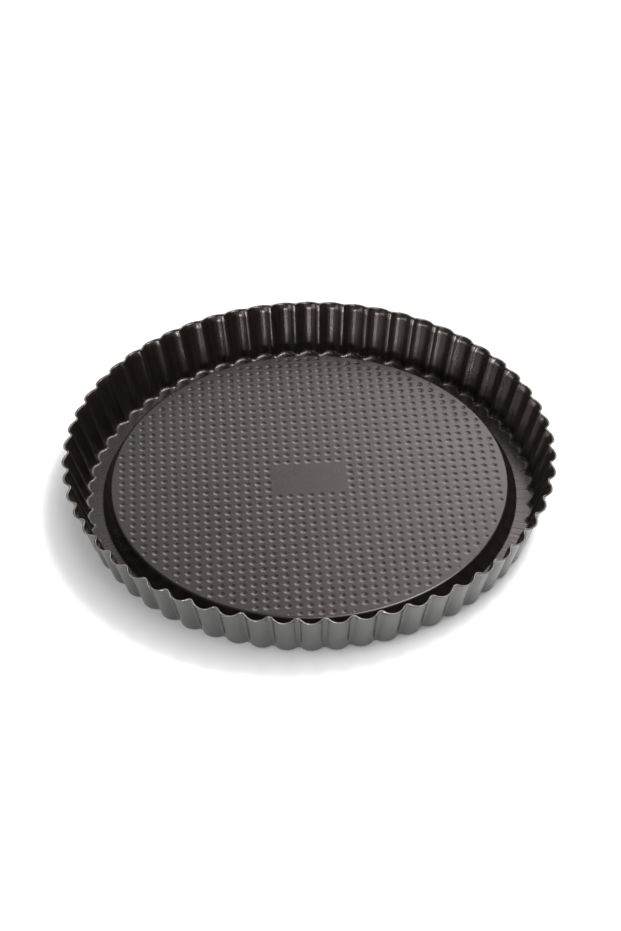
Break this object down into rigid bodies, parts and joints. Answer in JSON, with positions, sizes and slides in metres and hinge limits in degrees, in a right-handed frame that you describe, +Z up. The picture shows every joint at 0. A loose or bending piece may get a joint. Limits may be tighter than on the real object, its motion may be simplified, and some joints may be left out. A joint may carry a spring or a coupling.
{
  "type": "fluted flan tin",
  "caption": "Round fluted flan tin with a raised flat centre inside a gutter ring and a slanted wavy wall.",
  "frame": {"origin": "centre of the face that the tin stands on, under the gutter ring", "axes": "+Z up along the tin's axis; +X through the middle of a lobe and along the long side of the blank label panel; +Y through a rib"},
  "size_m": [0.3, 0.2996, 0.035],
  "materials": {
    "outer_coating": "satin grey bakeware enamel on the outside",
    "bare_steel": "bare trimmed edge of the steel sheet",
    "nonstick_lining": "satin dark non-stick coating on the inside"
  },
  "bodies": {
    "root": {"outer_coating": "outer_coating", "steel_sheet": "bare_steel", "nonstick_lining": "nonstick_lining"}
  },
  "joints": []
}
